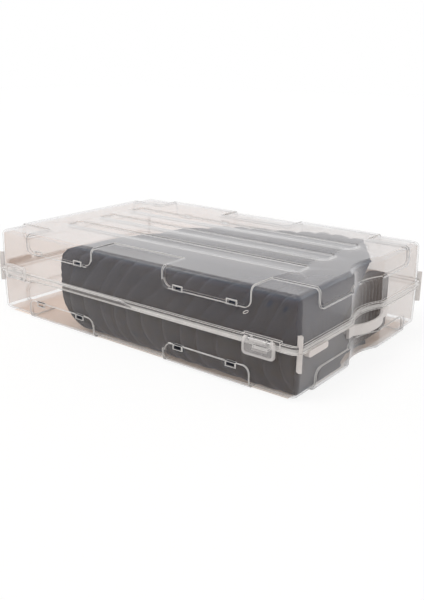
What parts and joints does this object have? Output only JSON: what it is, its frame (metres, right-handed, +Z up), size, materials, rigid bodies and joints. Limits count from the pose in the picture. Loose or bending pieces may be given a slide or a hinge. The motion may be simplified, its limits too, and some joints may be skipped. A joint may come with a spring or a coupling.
{
  "type": "fishing tackle box",
  "caption": "Clear hinged two-shell carry case for tackle and travel gear, with front snap latches, a hand scoop and a bowed end grip.",
  "frame": {"origin": "centre of the flat face that the case lies on", "axes": "+X along the long side towards the carrying grip, +Y towards the hinges, +Z up"},
  "size_m": [0.4723, 0.3128, 0.111],
  "materials": {
    "clear_shell": "slightly hazy clear moulded plastic",
    "milky_latch": "milky clear moulded plastic",
    "milky_grip": "milky moulded plastic, satin",
    "white_bumper": "white moulded plastic, satin",
    "steel_pin": "drawn wire"
  },
  "bodies": {
    "base": {"base_shell": "clear_shell", "handle_grip": "milky_grip", "latch_pin_left": "steel_pin", "hinge_pin_left": "steel_pin", "opening_tab_right": "white_bumper", "base_bumper_front_right": "white_bumper", "base_bumper_front_left": "white_bumper", "base_bumper_back_right": "white_bumper", "base_bumper_back_left": "white_bumper"},
    "lid": {"lid_shell": "clear_shell", "latch_pin_right": "steel_pin", "hinge_pin_right": "steel_pin", "opening_tab_left": "white_bumper", "lid_bumper_front_right": "white_bumper", "lid_bumper_front_left": "white_bumper", "lid_bumper_back_right": "white_bumper", "lid_bumper_back_left": "white_bumper"},
    "latch_right": {"latch_flap_right": "milky_latch"},
    "latch_left": {"latch_flap_left": "milky_latch"}
  },
  "joints": [
    {"name": "lid_hinge", "type": "hinge", "parent": "base", "child": "lid", "pos_m": [0, 0.1538, 0.0555], "axis": [-1, 0, 0], "range_deg": [0, 180]},
    {"name": "latch_right_pivot", "type": "hinge", "parent": "lid", "child": "latch_right", "pos_m": [0.1865, -0.1536, 0.059], "axis": [-1, 0, 0], "range_deg": [0, 150]},
    {"name": "latch_left_pivot", "type": "hinge", "parent": "base", "child": "latch_left", "pos_m": [-0.1865, -0.1536, 0.052], "axis": [1, 0, 0], "range_deg": [0, 150]}
  ]
}
